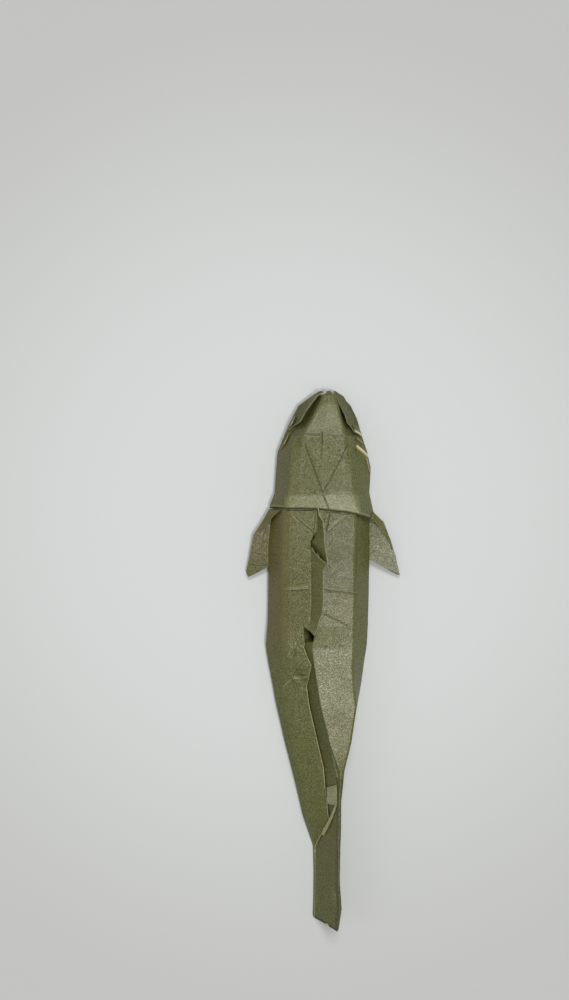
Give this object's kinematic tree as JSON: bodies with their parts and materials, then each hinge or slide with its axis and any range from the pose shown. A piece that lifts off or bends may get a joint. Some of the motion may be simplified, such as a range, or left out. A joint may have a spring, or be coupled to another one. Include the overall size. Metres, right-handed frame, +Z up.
{
  "type": "origami fish",
  "caption": "Fish folded from a sheet of olive paper, with a collared head, side fins, leaning dorsal pleats along the seam and a tapering tail that ends in a steep fin; a table ornament.",
  "frame": {"origin": "on the table plane, under the middle of the fish's length and of its fin span", "axes": "+Y along the fish to the snout, +X to the fish's right side, +Z up from the belly"},
  "size_m": [0.0584, 0.1999, 0.0182],
  "materials": {
    "sheet_paper": "matt, with a faint pearly speckle"
  },
  "bodies": {
    "root": {"folded_fish": "sheet_paper"}
  },
  "joints": []
}
